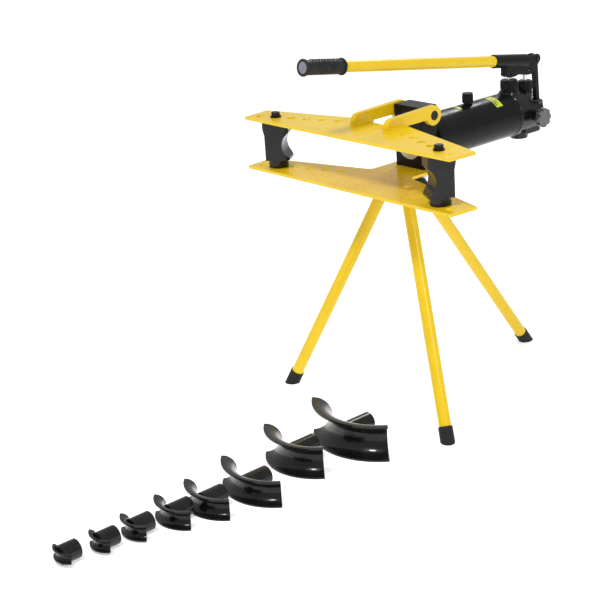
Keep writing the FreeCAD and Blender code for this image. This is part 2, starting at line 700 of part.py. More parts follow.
def pump_base():
    """The casting that closes the tank, carries both barrels, the release valve and the link's lugs."""
    front = d["tank_back"]
    box_front = front + 32
    body = rod("base_barrel", d["base_radius"], d["base_barrel"], 0, front, 0, "y")
    round_body = soften("base_round", body, 6.0,
                        is_ring_at("y", (front, front + d["base_barrel"]), d["base_radius"]), "Part::Fillet")
    shelf = brick("base_shelf", -d["base_radius"], d["base_top_front"], d["base_top"], d["base_radius"] * 2,
                  d["base_barrel"], d["base_radius"])
    stepped = cut("base_stepped", round_body, [shelf])
    box = brick("base_block", -d["base_half"], box_front, -d["base_bottom"], d["base_half"] * 2,
                d["base_box"], d["base_bottom"] + d["base_top"])
    box_soft = soften("base_block_soft", box, 5.0,
                      lambda e: e.BoundBox.YMin > float(box_front + d["base_box"]) - 0.01
                      or e.BoundBox.YLength > 50, "Part::Fillet")
    plug = rod("base_plug", d["tube_bore"], d["plug_length"] + 6, 0, plug_front, 0, "y")
    peg = rod("base_spring_peg", SPRING_RADIUS - SPRING_WIRE - 0.1, 20, 0, plug_front - 16, 0, "y")
    tower_rise = 24
    saddle = taper("base_saddle", d["main_tower"], d["main_cap_radius"] + 4, tower_rise,
                   0, d["main_place"], d["main_tower_top"] - tower_rise)
    fast_tower = rod("base_fast_tower", d["fast_tower"], d["fast_tower_top"], 0, d["fast_place"], 0)
    column = rod("base_rear_column", d["rear_column"], d["base_bottom"] + d["base_top"], 0, d["fast_place"],
                 -d["base_bottom"])
    sump = taper("base_sump", d["sump_radius"] - 5, d["sump_radius"], 24, 0, d["valve_place"], -d["sump_depth"])
    valve_boss = rod("base_valve_boss", d["valve_boss"], d["valve_face"], 0, d["valve_place"],
                     -d["valve_drop"], "x")
    lugs = []
    lug_inner = d["link_half"] + d["face_gap"]
    for side in (-1, 1):
        start = lug_inner if side > 0 else -lug_inner - d["lug_plate"]
        lug = rod(f"base_lug_{side}", d["lug_end"], d["lug_plate"], start, d["link_foot_back"],
                  d["link_foot_height"], "x")
        strap = brick(f"base_strap_{side}", start, d["fast_place"], d["link_foot_height"] - d["lug_end"],
                      d["lug_plate"], d["link_foot_back"] - d["fast_place"], d["lug_end"] * 2)
        lugs += [lug, strap]
    parts = [stepped, box_soft, plug, peg, saddle, fast_tower, column, sump, valve_boss]
    solid = fuse("base_solid", parts + lugs)
    barrels = []
    for place_name, radius_name in (("main", "main_barrel_radius"), ("fast", "fast_barrel_radius")):
        at = d[place_name + "_place"]
        barrels.append(rod(place_name + "_seat", d[radius_name], 90, 0, at, d["barrel_foot"]))
        barrels.append(rod(place_name + "_drop", d["gallery_radius"], d["barrel_foot"] + d["gallery_drop"],
                           0, at, -d["gallery_drop"]))
    gallery = rod("base_gallery", d["gallery_radius"], d["fast_place"] - plug_front, 0, plug_front,
                  -d["gallery_drop"], "y")
    valve = rod("base_valve_bore", d["valve_stem"] + d["running_gap"], d["valve_face"], 6, d["valve_place"],
                -d["valve_drop"], "x")
    tank_seat = rod("base_tank_seat", d["tank_radius"], 60, 0, front - 60, 0, "y")
    plug_keep = rod("base_plug_keep", d["tube_bore"], 60, 0, front - 60, 0, "y")
    tank_clear = cut("base_tank_clear", tank_seat, [plug_keep])
    pin_seat = rod("base_pin_seat", d["fulcrum_pin_radius"], 60, -30, d["link_foot_back"],
                   d["link_foot_height"], "x")
    node(cut("pump_base", solid, barrels + [gallery, valve, tank_clear, pin_seat]), "pump_base")


def barrel(label, at, radius, plunger_radius, top):
    """A pump barrel seated in the base, with the plunger's bore and an oil port in its floor."""
    length = top - d["barrel_foot"]
    outer = rod(label + "_outside", radius, length, 0, at, d["barrel_foot"])
    bore = rod(label + "_inside", plunger_radius + d["running_gap"], length, 0, at,
               d["barrel_foot"] + d["barrel_floor"])
    port = rod(label + "_port", d["gallery_radius"], 20, 0, at, d["barrel_foot"] - 5)
    return node(cut(label, outer, [bore, port]), label)


def barrel_cap(label, at, radius, barrel_radius, plunger_radius, base_top, height, notches):
    """The knurled cap screwed over a barrel, with the plunger's hole."""
    body = rod(label + "_body", radius, height, 0, at, base_top)
    top = base_top + height
    soft = soften(label + "_soft", body, 2.5, is_ring_at("z", (top,), radius))
    hole = rod(label + "_hole", plunger_radius + d["slot_clearance"], height, 0, at, base_top)
    seat = rod(label + "_seat", barrel_radius, height - 6, 0, at, base_top)
    tools = [hole, seat]
    for i in range(notches):
        angle = 2 * math.pi * i / notches
        tools.append(rod(f"{label}_notch_{i}", 1.1, height, radius * math.cos(angle),
                         at + radius * math.sin(angle), base_top + 4))
    return node(cut(label, soft, tools), label)


def plunger(label, at, radius, pin_height):
    """A plunger with a flat tongue rounded about its cross pin, and the pin."""
    low = d["barrel_foot"] + d["barrel_floor"] + 2
    shoulder_z = pin_height - d["tongue_drop"]
    shaft = rod(label + "_shaft", radius, shoulder_z - low, 0, at, low)
    flat = min(d["tongue_half"], radius, key=float)
    post = rod(label + "_post", radius, d["tongue_drop"] + radius, 0, at, shoulder_z)
    slab = brick(label + "_slab", -flat, at - radius, shoulder_z, flat * 2, radius * 2, d["tongue_drop"])
    crown = rod(label + "_crown", radius - 1, flat * 2, -flat, at, pin_height, "x")
    tongue = common(label + "_tongue", [post, fuse(label + "_tongue_form", [slab, crown])])
    seat = rod(label + "_pin_seat", d["plunger_pin_radius"], radius * 2 + 2, -radius - 1, at, pin_height, "x")
    node(cut(label, fuse(label + "_solid", [shaft, tongue]), [seat]), label)
    reach = d["cheek_gap"] + d["cheek_plate"] + 1
    bar = rod(label + "_pin_bar", d["plunger_pin_radius"], reach * 2, -reach, at, pin_height, "x")
    return node(soften(label + "_pin", bar, 0.8, is_ring_at("x", (-reach, reach), d["plunger_pin_radius"])),
                label + "_pin")


main_barrel_top = d["main_tower_top"] + d["main_cap"] - 6
fast_barrel_top = d["fast_tower_top"] + d["fast_cap"] - 6
pump_base()
barrel("main_barrel", d["main_place"], d["main_barrel_radius"], d["main_plunger_radius"], main_barrel_top)
barrel("fast_barrel", d["fast_place"], d["fast_barrel_radius"], d["fast_plunger_radius"], fast_barrel_top)
barrel_cap("main_barrel_cap", d["main_place"], d["main_cap_radius"], d["main_barrel_radius"],
           d["main_plunger_radius"], d["main_tower_top"], d["main_cap"], 28)
barrel_cap("fast_barrel_cap", d["fast_place"], d["fast_cap_radius"], d["fast_barrel_radius"],
           d["fast_plunger_radius"], d["fast_tower_top"], d["fast_cap"], 24)
plunger("main_plunger", d["main_place"], d["main_plunger_radius"], d["main_pin_height"])
plunger("fast_plunger", d["fast_place"], d["fast_plunger_radius"], d["fast_pin_height"])


# ------------------------------------------------------------------------------------------------
# release valve

def release_valve():
    """The valve spindle and its lobed knob."""
    x_tip = 8
    reach = d["knob_inner"] + d["knob_thick"] - 4
    stem = rod("spindle_stem", d["valve_stem"], reach - x_tip - 6, x_tip + 6, d["valve_place"],
               -d["valve_drop"], "x")
    tip = taper("spindle_tip", d["valve_stem"] - 4, d["valve_stem"], 6, x_tip, d["valve_place"],
                -d["valve_drop"], "x")
    node(fuse("release_spindle", [stem, tip]), "release_spindle")
    disc = rod("knob_disc", d["knob_radius"], d["knob_thick"], d["knob_inner"], d["valve_place"],
               -d["valve_drop"], "x")
    edged = soften("knob_edged", disc, 2.0,
                   is_ring_at("x", (d["knob_inner"], d["knob_inner"] + d["knob_thick"]), d["knob_radius"]),
                   "Part::Fillet")
    tools = [rod("knob_seat", d["valve_stem"], d["knob_thick"] - 4, d["knob_inner"], d["valve_place"],
                 -d["valve_drop"], "x")]
    hollow = 7.5
    for i in range(KNOB_LOBES):
        angle = 2 * math.pi * (i + 0.5) / KNOB_LOBES
        distance = d["knob_radius"] + 3
        tools.append(rod(f"knob_hollow_{i}", hollow, d["knob_thick"] + 2, d["knob_inner"] - 1,
                         d["valve_place"] + distance * math.cos(angle),
                         -d["valve_drop"] + distance * math.sin(angle), "x"))
    node(cut("release_knob", edged, tools), "release_knob")


release_valve()


# ------------------------------------------------------------------------------------------------
# lever, link and handle

fulcrum = Vector(0, float(d["fulcrum_back"]), float(d["fulcrum_height"]))
link_foot = Vector(0, float(d["link_foot_back"]), float(d["link_foot_height"]))
handle_angle = math.radians(float(d["handle_rise"]))
handle_way = Vector(0, -math.cos(handle_angle), math.sin(handle_angle))
handle_point = Vector(0, float(d["handle_pass"]), float(d["handle_pass_height"]))


def along_handle(distance):
    """A point on the handle's axis, measured forwards from its reference point."""
    return handle_point + handle_way * float(distance)


def handle_rod(radius, first, last):
    """A cylinder on the handle's axis between two distances."""
    return Part.makeCylinder(float(radius), float(last) - float(first), along_handle(first), handle_way)


def cross_rod(radius, half, centre):
    """A cylinder along X, centred on the middle plane."""
    return Part.makeCylinder(float(radius), 2 * float(half), centre - Vector(float(half), 0, 0), Vector(1, 0, 0))


def pin_slot(at, pin_height, rise):
    """The slot that a plunger's cross pin needs in the cheeks as the lever swings through its lift."""
    radius = float(d["plunger_pin_radius"] + d["slot_clearance"])
    half = float(d["cheek_gap"] + d["cheek_plate"]) + 2
    ends = []
    steps = 8
    for i in range(steps + 1):
        turn = math.radians(float(d["lever_lift"])) * i / steps
        back = float(at) - fulcrum.y
        up = float(pin_height) - fulcrum.z + float(rise) * turn
        ends.append(fulcrum + Vector(0, back * math.cos(turn) - up * math.sin(turn),
                                     back * math.sin(turn) + up * math.cos(turn)))
    low = min(ends, key=lambda p: p.y)
    high = max(ends, key=lambda p: p.y)
    way = high - low
    normal = Vector(0, -way.z, way.y)
    normal.normalize()
    corners = [low + normal * radius, high + normal * radius, high - normal * radius, low - normal * radius]
    strip = Part.Face(Part.makePolygon(corners + [corners[0]]))
    strip.translate(Vector(-half, 0, 0))
    slot = strip.extrude(Vector(2 * half, 0, 0))
    return slot.fuse([cross_rod(radius, half, low), cross_rod(radius, half, high)]).removeSplitter()


def lever_head():
    """The lever casting: two cheeks, a front web and the handle's socket."""
    inner = float(d["cheek_gap"])
    outer = inner + float(d["cheek_plate"])
    end = float(d["cheek_end"])
    outline_points = [
        Vector(0, 405, 151), Vector(0, fulcrum.y - 2, fulcrum.z + end),
        Vector(0, fulcrum.y + 5, fulcrum.z - end + 1),
        Vector(0, 514, 100), Vector(0, 490, 101), Vector(0, 452, 109), Vector(0, 438, 106),
        Vector(0, 416, 106), Vector(0, 403, 112),
    ]
    plate = Part.Face(Part.makePolygon(outline_points + [outline_points[0]]))
    plate.translate(Vector(-outer, 0, 0))
    block = plate.extrude(Vector(2 * outer, 0, 0)).fuse(cross_rod(end, outer, fulcrum)).removeSplitter()
    corners = [e for e in block.Edges if e.BoundBox.XLength > 2 * outer - 0.01 and e.BoundBox.YMax < 417]
    block = block.makeFillet(4, corners)
    sides = [e for e in block.Edges if e.BoundBox.XLength < 1e-6]
    block = block.makeChamfer(0.8, sides)
    gap = Part.makeBox(2 * inner, 300, 120, Vector(-inner, 408, 60))
    cheeks = block.cut(gap)
    socket_radius = float(d["handle_radius"] + d["socket_wall"])
    socket = handle_rod(socket_radius, -d["socket_back"], d["socket_front"])
    rims = [e for e in socket.Edges if isinstance(e.Curve, Part.Circle)]
    socket = socket.makeChamfer(1.5, rims)
    solid = cheeks.fuse(socket).removeSplitter()
    bore = handle_rod(d["handle_radius"] + d["running_gap"], -d["handle_hold"] - 1, d["socket_front"] + 1)
    tools = [bore, cross_rod(float(d["fulcrum_pin_radius"] + d["running_gap"]), outer + 1, fulcrum)]
    tools.append(pin_slot(d["main_place"], d["main_pin_height"], d["main_rise"]))
    tools.append(pin_slot(d["fast_place"], d["fast_pin_height"], d["fast_rise"]))
    for tool in tools:
        solid = solid.cut(tool)
    return node(feature("lever_head", solid), "lever_head")


def link_and_pins():
    """The standing link that carries the lever's fulcrum, with its two pins."""
    half = float(d["link_half"])
    end = float(d["link_end"])
    way = fulcrum - link_foot
    way.normalize()
    across = Vector(0, -way.z, way.y) * float(d["link_body"])
    corners = [link_foot + across, fulcrum + across, fulcrum - across, link_foot - across]
    strip = Part.Face(Part.makePolygon(corners + [corners[0]]))
    strip.translate(Vector(-half, 0, 0))
    bar = strip.extrude(Vector(2 * half, 0, 0))
    solid = bar.fuse([cross_rod(end, half, fulcrum), cross_rod(end, half, link_foot)]).removeSplitter()
    for centre in (fulcrum, link_foot):
        solid = solid.cut(cross_rod(float(d["fulcrum_pin_radius"]), half, centre))
    node(feature("fulcrum_link", solid), "fulcrum_link")
    cheek_reach = float(d["cheek_gap"] + d["cheek_plate"] + d["pin_proud"])
    lug_reach = half + float(d["face_gap"] + d["lug_plate"] + d["pin_proud"])
    for label, centre, reach in (("fulcrum_pin", fulcrum, cheek_reach), ("link_pin", link_foot, lug_reach)):
        pin = cross_rod(float(d["fulcrum_pin_radius"]), reach, centre)
        node(feature(label, pin.makeChamfer(0.8, [e for e in pin.Edges if isinstance(e.Curve, Part.Circle)])),
             label)


def handle():
    """The handle tube with its grip and end plug."""
    first = -d["handle_hold"]
    last = d["handle_front"] - 3
    tube = handle_rod(d["handle_radius"], first, last)
    node(feature("handle_tube", tube.cut(handle_rod(d["handle_radius"] - d["handle_wall"], first, last))),
         "handle_tube")
    grip_back = d["handle_front"] - d["grip_length"]
    grip = handle_rod(d["grip_radius"], grip_back, d["handle_front"])
    for start in (grip_back, d["handle_front"] - d["grip_flange"]):
        flange = handle_rod(d["grip_flange_radius"], start, start + d["grip_flange"])
        rims = [e for e in flange.Edges if isinstance(e.Curve, Part.Circle)]
        grip = grip.fuse(flange.makeFillet(1.5, rims))
    grip = grip.cut(handle_rod(d["handle_radius"], grip_back, d["handle_front"] + 1))
    node(feature("handle_grip", grip.removeSplitter()), "handle_grip")
    cap = handle_rod(d["handle_radius"], last, d["handle_front"] - 1)
    stem = handle_rod(d["handle_radius"] - d["handle_wall"], last - 12, last)
    node(feature("grip_plug", cap.fuse(stem).removeSplitter()), "grip_plug")


lever_head()
link_and_pins()
handle()


# ------------------------------------------------------------------------------------------------
# tripod

floor = -float(d["floor_drop"])
leg_top = -float(d["leg_top_drop"])
bracket_low = float(under_bracket)


def leg_line(name):
    """The top point of a leg's axis and the unit vector down it."""
    if name == "rear":
        top = Vector(0, float(d["rear_leg_top"]), leg_top)
        foot = Vector(0, float(d["rear_foot"]), floor)
    else:
        side = -1 if name == "left" else 1
        top = Vector(side * float(d["front_leg_top_half"]), -float(d["front_leg_top"]), leg_top)
        foot = Vector(side * float(d["front_foot_half"]), -float(d["front_foot"]), floor)
    way = foot - top
    way.normalize()
    return top, way


def below(shape, level):
    """The part of a shape under a level."""
    span = 2000
    return shape.common(Part.makeBox(2 * span, 2 * span, span, Vector(-span, -span, level - span)))


def above(shape, level):
    """The part of a shape over a level."""
    span = 2000
    return shape.common(Part.makeBox(2 * span, 2 * span, span, Vector(-span, -span, level)))


def leg_and_foot(name):
    """A tubular leg and the rubber foot on its end, cut flat at the floor."""
    top, way = leg_line(name)
    outer = float(d["leg_radius"])
    end = (floor + float(d["foot_pad"]) - top.z) / way.z
    tube = Part.makeCylinder(outer, end, top, way)
    tube = tube.cut(Part.makeCylinder(outer - float(d["leg_wall"]), end, top, way))
    node(feature(name + "_leg", tube), name + "_leg")
    start = end + float(d["foot_pad"]) / -way.z - float(d["foot_height"])
    cup = Part.makeCylinder(outer + float(d["foot_wall"]), 200, top + way * start, way)
    cup = cup.cut(Part.makeCylinder(outer, end - start, top + way * start, way))
    node(feature(name + "_foot", above(cup, floor)), name + "_foot")


def leg_bracket():
    """The plate under the tongue with a slanted socket for each leg."""
    half = float(d["bracket_half"])
    front = -float(d["bracket_front"])
    depth = float(d["bracket_front"] + d["bracket_back"])
    plate = Part.makeBox(2 * half, depth, float(d["bracket_plate"]), Vector(-half, front, bracket_low))
    plate = plate.makeFillet(10, [e for e in plate.Edges if e.BoundBox.ZLength > 1 and e.BoundBox.XLength < 1e-6
                                  and e.BoundBox.YLength < 1e-6])
    bores = []
    for name in ("left", "right", "rear"):
        top, way = leg_line(name)
        reach = float(d["leg_socket"])
        outer = float(d["leg_radius"] + d["socket_wall"])
        sleeve = Part.makeCylinder(outer, reach + 40, top - way * 40, way)
        plate = plate.fuse(below(sleeve, bracket_low))
        bores.append(Part.makeCylinder(float(d["leg_radius"]), reach + 20, top, way))
    for bore in bores:
        plate = plate.cut(bore)
    for spot in screw_spots():
        plate = plate.cut(Part.makeCylinder(float(d["screw_radius"]), 20, spot - Vector(0, 0, 10)))
    for start, way in clamp_screws():
        plate = plate.cut(Part.makeCylinder(float(d["screw_radius"]), 30, start, way))
    return node(feature("leg_bracket", plate.removeSplitter()), "leg_bracket")


def screw_spots():
    """Where the four screws up into the head block stand, at the bracket's underside."""
    half = float(d["block_screw_half"])
    rows = (float(d["block_front"]) + 11, float(block_back) - 11)
    return [Vector(side * half, y, bracket_low) for side in (-1, 1) for y in rows]


def clamp_screws():
    """The seat and direction of each leg's clamp screw, square to the leg."""
    found = []
    for name in ("left", "right", "rear"):
        top, way = leg_line(name)
        outwards = Vector(0, 0, 1).cross(way).cross(way)
        outwards.normalize()
        if outwards.z > 0:
            outwards = -outwards
        seat = top + way * (float(d["leg_socket"]) - 14)
        found.append((seat + outwards * float(d["leg_radius"]), outwards))
    return found


def screws():
    """The screws that hold block, wing and bracket together, and those that clamp the legs."""
    radius = float(d["screw_radius"])
    head_radius = float(d["screw_head_radius"])
    head = float(d["screw_head"])
    through = float(d["bracket_plate"] + d["wing_plate"]) + 20
    group = []
    for spot in screw_spots():
        shank = Part.makeCylinder(radius, through, spot)
        group.append(shank.fuse(Part.makeCylinder(head_radius, head, spot - Vector(0, 0, head))))
    node(feature("block_screws", Part.makeCompound(group)), "block_screws")
    group = []
    for start, way in clamp_screws():
        length = float(d["socket_wall"])
        shank = Part.makeCylinder(radius, length, start, way)
        group.append(shank.fuse(Part.makeCylinder(head_radius, head, start + way * length, way)))
    node(feature("leg_screws", Part.makeCompound(group)), "leg_screws")


for leg in ("left", "right", "rear"):
    leg_and_foot(leg)
leg_bracket()
screws()


# ------------------------------------------------------------------------------------------------
# formers

def former(label, pipe, radius, x, y):
    """A bending former: a grooved arc with a boss that fits the ram's nose, standing on the floor."""
    half = float(d["former_half_angle"])
    r = pipe / 2
    lip = 2.4 + 0.03 * pipe
    high = r + lip
    back = 1.8 * lip
    boss_r = float(d["boss_radius"])
    inner = radius - r - back
    top = Vector(radius, 0, high)
    bottom = Vector(radius, 0, -high)
    groove_top = Vector(radius, 0, r)
    groove_bottom = Vector(radius, 0, -r)
    edges = [
        Part.makeLine(top, groove_top),
        Part.Arc(groove_top, Vector(radius - r, 0, 0), groove_bottom).toShape(),
        Part.makeLine(groove_bottom, bottom),
        Part.Arc(bottom, Vector(inner, 0, 0), top).toShape(),
    ]
    face = Part.Face(Part.Wire(edges))
    face.rotate(Vector(0, 0, 0), Vector(0, 0, 1), -90 - half)
    channel = face.revolve(Vector(0, 0, 0), Vector(0, 0, 1), 2 * half)
    boss_length = 30 + 0.62 * pipe
    boss_end = -inner + boss_length
    boss = Part.makeCylinder(boss_r, boss_length + back, Vector(0, boss_end, 0), Vector(0, -1, 0))
    boss = boss.makeChamfer(1.5, [e for e in boss.Edges if isinstance(e.Curve, Part.Circle)
                                  and e.BoundBox.YMin > boss_end - 0.01])
    groove = Part.makeTorus(radius, r, Vector(0, 0, 0), Vector(0, 0, 1))
    solid = channel.fuse(boss.cut(groove)).removeSplitter()
    bore = Part.makeCylinder(float(d["boss_bore"]), float(d["boss_bore_depth"]), Vector(0, boss_end, 0),
                             Vector(0, -1, 0))
    solid = solid.cut(bore)
    depth = radius - inner
    belly = (high ** 2 + depth ** 2) / (2 * depth) if depth > high else high
    obj = feature(label, solid)
    obj.Placement = Placement(Vector(x, y, floor + max(belly, boss_r)), Rotation())
    return node(obj, label)


for label, pipe, radius, x, y in FORMERS:
    former(label, pipe, radius, x, y)


# ------------------------------------------------------------------------------------------------
# bores that must hold the fasteners of the lower plates, then checks and files

def drill(label, tools):
    """Cuts tools out of a finished sub-part, keeping its name."""
    old = next(n for n in nodes if n.Label == label)
    nodes.remove(old)
    old.Label = label + "_undrilled"
    new = doc.addObject("Part::Cut", label + "_drilled")
    new.Base = old
    new.Tool = tools[0] if len(tools) == 1 else fuse(label + "_drills", tools)
    return node(new, label)


for piece in ("bottom_wing", "head_block"):
    drill(piece, [rod(f"{piece}_hole_{i}", d["screw_radius"], d["wing_plate"] + 20, spot.x, spot.y, under_wing)
                  for i, spot in enumerate(screw_spots())])

doc.recompute()

for obj in doc.Objects:
    bad = [state for state in obj.State if state in ("Invalid", "Error")]
    if bad:
        raise RuntimeError(f"{obj.Name}: {bad}")

labels = [obj.Label for obj in nodes]
if len(set(labels)) != len(labels):
    raise RuntimeError("two sub-parts share a name")

for obj in nodes:
    shape = obj.Shape
    if shape.isNull() or not shape.isValid() or shape.Volume <= 0:
        raise RuntimeError(f"{obj.Label}: bad shape")

removed = next(n for n in nodes if n.Label == "head_block").Shape.Volume
solid_block = float(d["block_half"] * 2) * float(d["block_length"]) * float(half_gap + d["block_top"])
if removed > 0.75 * solid_block:
    raise RuntimeError("head_block: the tube's bore was not cut")

os.makedirs("parts", exist_ok=True)
for obj in nodes:
    obj.Shape.exportStep(f"parts/{obj.Label}.step")
print(len(nodes), "sub-parts")
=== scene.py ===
import json
import math

import bmesh
import bpy
from mathutils import Matrix, Vector


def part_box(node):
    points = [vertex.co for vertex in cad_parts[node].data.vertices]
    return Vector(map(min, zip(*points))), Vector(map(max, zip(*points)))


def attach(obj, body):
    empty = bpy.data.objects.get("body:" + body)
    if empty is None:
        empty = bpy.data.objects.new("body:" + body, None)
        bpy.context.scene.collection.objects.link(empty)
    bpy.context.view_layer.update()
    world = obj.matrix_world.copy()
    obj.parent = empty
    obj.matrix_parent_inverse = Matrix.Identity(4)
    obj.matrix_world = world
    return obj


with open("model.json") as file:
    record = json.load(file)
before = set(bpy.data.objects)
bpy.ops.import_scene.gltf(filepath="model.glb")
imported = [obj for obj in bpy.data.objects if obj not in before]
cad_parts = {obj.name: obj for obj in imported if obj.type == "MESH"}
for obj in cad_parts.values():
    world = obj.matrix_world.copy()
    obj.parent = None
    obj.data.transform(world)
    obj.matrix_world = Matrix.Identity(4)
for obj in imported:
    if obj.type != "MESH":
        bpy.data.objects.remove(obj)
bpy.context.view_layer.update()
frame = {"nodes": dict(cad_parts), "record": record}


nodes = frame["nodes"]
floor_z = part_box("rear_foot")[0][2]

# ------------------------------------------------------------------------------------------------
# materials


class Graph:
    """A material's node tree, with short calls for the nodes that the finishes share."""

    def __init__(self, name):
        self.material = bpy.data.materials.new(name)
        self.material.use_nodes = True
        self.tree = self.material.node_tree
        self.shader = self.tree.nodes["Principled BSDF"]
        self.coords = self.tree.nodes.new("ShaderNodeTexCoord")

    def link(self, source, target):
        self.tree.links.new(source, target)

    def set(self, **values):
        for key, value in values.items():
            self.shader.inputs[key.replace("_", " ")].default_value = value

    def noise(self, scale, detail=4.0, stretch=None, distortion=0.0):
        node = self.tree.nodes.new("ShaderNodeTexNoise")
        node.inputs["Scale"].default_value = scale
        node.inputs["Detail"].default_value = detail
        node.inputs["Distortion"].default_value = distortion
        source = self.coords.outputs["Object"]
        if stretch:
            mapping = self.tree.nodes.new("ShaderNodeMapping")
            mapping.inputs["Scale"].default_value = stretch
            self.link(source, mapping.inputs["Vector"])
            source = mapping.outputs["Vector"]
        self.link(source, node.inputs["Vector"])
        return node.outputs["Fac"]

    def ramp(self, source, stops):
        node = self.tree.nodes.new("ShaderNodeValToRGB")
        elements = node.color_ramp.elements
        while len(elements) < len(stops):
            elements.new(0.5)
        for element, (place, colour) in zip(elements, stops):
            element.position = place
            element.color = (*colour, 1.0) if len(colour) == 3 else colour
        self.link(source, node.inputs["Fac"])
        return node.outputs["Color"]

    def grey(self, source, low, high, first=0.0, last=1.0):
        """Maps a source to a plain number between two values."""
        node = self.tree.nodes.new("ShaderNodeMapRange")
        node.inputs["From Min"].default_value = first
        node.inputs["From Max"].default_value = last
        node.inputs["To Min"].default_value = low
        node.inputs["To Max"].default_value = high
        self.link(source, node.inputs["Value"])
        return node.outputs["Result"]

    def bump(self, source, strength, distance=0.001, before=None):
        node = self.tree.nodes.new("ShaderNodeBump")
        node.inputs["Strength"].default_value = strength
        node.inputs["Distance"].default_value = distance
        self.link(source, node.inputs["Height"])
        if before is not None:
            self.link(before, node.inputs["Normal"])
        return node.outputs["Normal"]

    def done(self, colour, roughness, normal=None):
        self.link(colour, self.shader.inputs["Base Color"])
        self.link(roughness, self.shader.inputs["Roughness"])
        if normal is not None:
            self.link(normal, self.shader.inputs["Normal"])
        return self.material


def enamel(name, light, dark, rough=(0.22, 0.38), peel=0.05, gloss=0.5):
    """Sprayed gloss enamel: slight drift of colour, orange peel and a few dull patches."""
    g = Graph(name)
    g.set(Specular_IOR_Level=gloss, Coat_Weight=0.25 * gloss, Coat_Roughness=0.12, IOR=1.5)
    colour = g.ramp(g.noise(9.0, 5.0), [(0.3, dark), (0.7, light)])
    roughness = g.grey(g.noise(30.0, 6.0), *rough, 0.3, 0.7)
    normal = g.bump(g.noise(420.0, 2.0), peel, 0.0006)
    return g.done(colour, roughness, normal)


def casting(name, light, dark, rough=(0.16, 0.34), grain=0.25):
    """Black paint run over a sand casting: glossy, with the sand's grain and soft hollows under it."""
    g = Graph(name)
    g.set(Specular_IOR_Level=0.14, Coat_Weight=0.34, Coat_Roughness=0.07, IOR=1.5)
    colour = g.ramp(g.noise(24.0, 6.0), [(0.35, dark), (0.7, light)])
    roughness = g.grey(g.noise(60.0, 6.0), *rough, 0.3, 0.7)
    broad = g.bump(g.noise(38.0, 3.0), grain, 0.0012)
    normal = g.bump(g.noise(330.0, 3.0), grain * 0.6, 0.0006, broad)
    return g.done(colour, roughness, normal)


def metal(name, light, dark, rough=(0.25, 0.45), stretch=None, scratch=0.05):
    """Bare metal with a turned or brushed grain."""
    g = Graph(name)
    g.set(Metallic=1.0)
    grain = g.noise(160.0, 6.0, stretch)
    colour = g.ramp(grain, [(0.3, dark), (0.7, light)])
    roughness = g.grey(g.noise(40.0, 5.0), *rough, 0.3, 0.7)
    return g.done(colour, roughness, g.bump(grain, scratch, 0.0004))


def soft(name, light, dark, rough=(0.5, 0.7), grain=0.2, scale=500.0):
    """Rubber or moulded plastic."""
    g = Graph(name)
    g.set(IOR=1.45, Specular_IOR_Level=0.16)
    colour = g.ramp(g.noise(35.0, 5.0), [(0.3, dark), (0.7, light)])
    roughness = g.grey(g.noise(80.0, 4.0), *rough, 0.3, 0.7)
    return g.done(colour, roughness, g.bump(g.noise(scale, 3.0), grain, 0.0005))


yellow = enamel("yellow_enamel", (0.74, 0.505, 0.006), (0.69, 0.465, 0.005), (0.2, 0.32), 0.02, 0.32)
black = enamel("black_enamel", (0.010, 0.010, 0.011), (0.005, 0.005, 0.0055), (0.18, 0.36), 0.1, 0.1)
cast = casting("black_casting", (0.010, 0.010, 0.011), (0.004, 0.004, 0.0045))
steel = metal("turned_steel", (0.62, 0.62, 0.63), (0.45, 0.45, 0.46))
ground = metal("ground_chrome", (0.70, 0.78, 0.79), (0.66, 0.66, 0.67), (0.12, 0.22), (1, 0.05, 1), 0.02)
dark_steel = metal("blackened_steel", (0.050, 0.046, 0.044), (0.022, 0.020, 0.020), (0.3, 0.5))
knob = metal("knob_metal", (0.20, 0.20, 0.215), (0.10, 0.10, 0.11), (0.32, 0.5), None, 0.3)
rubber = soft("black_rubber", (0.022, 0.022, 0.022), (0.012, 0.012, 0.012))
grip = soft("grip_rubber", (0.026, 0.026, 0.028), (0.014, 0.014, 0.015), (0.35, 0.55), 0.25, 300.0)
disc = soft("grip_disc", (0.24, 0.24, 0.28), (0.16, 0.16, 0.20), (0.4, 0.6))
label = soft("label_print", (0.60, 0.68, 0.06), (0.52, 0.60, 0.05), (0.3, 0.45), 0.05)

FINISHES = {
    "yellow_paint": yellow, "black_paint": black, "black_casting": cast, "steel": steel,
    "dark_steel": dark_steel, "chrome": ground,
    "knob_metal": knob, "rubber": rubber, "grip": grip, "grip_disc": disc, "label": label,
}

for part in frame["record"]["subparts"]:
    mesh = nodes[part["node"]].data
    mesh.materials.clear()
    mesh.materials.append(FINISHES[part["material_slot"]])

# ------------------------------------------------------------------------------------------------
# added detail: knurls, weld beads, grip ribs and plain label bars

MM = 0.001


def across(axis):
    """Two unit directions that lie square to an axis."""
    first = Vector((0, 0, 1)) if abs(axis.z) < 0.9 else Vector((0, 1, 0))
    first = (first - axis * first.dot(axis)).normalized()
    return first, axis.cross(first)


def piece(name, mesh_data, body, slot_name, smooth=True):
    """A new mesh piece that rides on a body and takes a slot's finish."""
    verts, faces = mesh_data
    mesh = bpy.data.meshes.new(name)
    mesh.from_pydata([tuple(v) for v in verts], [], faces)
    mesh.update()
    work = bmesh.new()
    work.from_mesh(mesh)
    bmesh.ops.recalc_face_normals(work, faces=work.faces)
    work.to_mesh(mesh)
    work.free()
    for face in mesh.polygons:
        face.use_smooth = smooth
    mesh.materials.append(FINISHES[slot_name])
    obj = bpy.data.objects.new(name, mesh)
    bpy.context.scene.collection.objects.link(obj)
    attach(obj, body)
    return obj


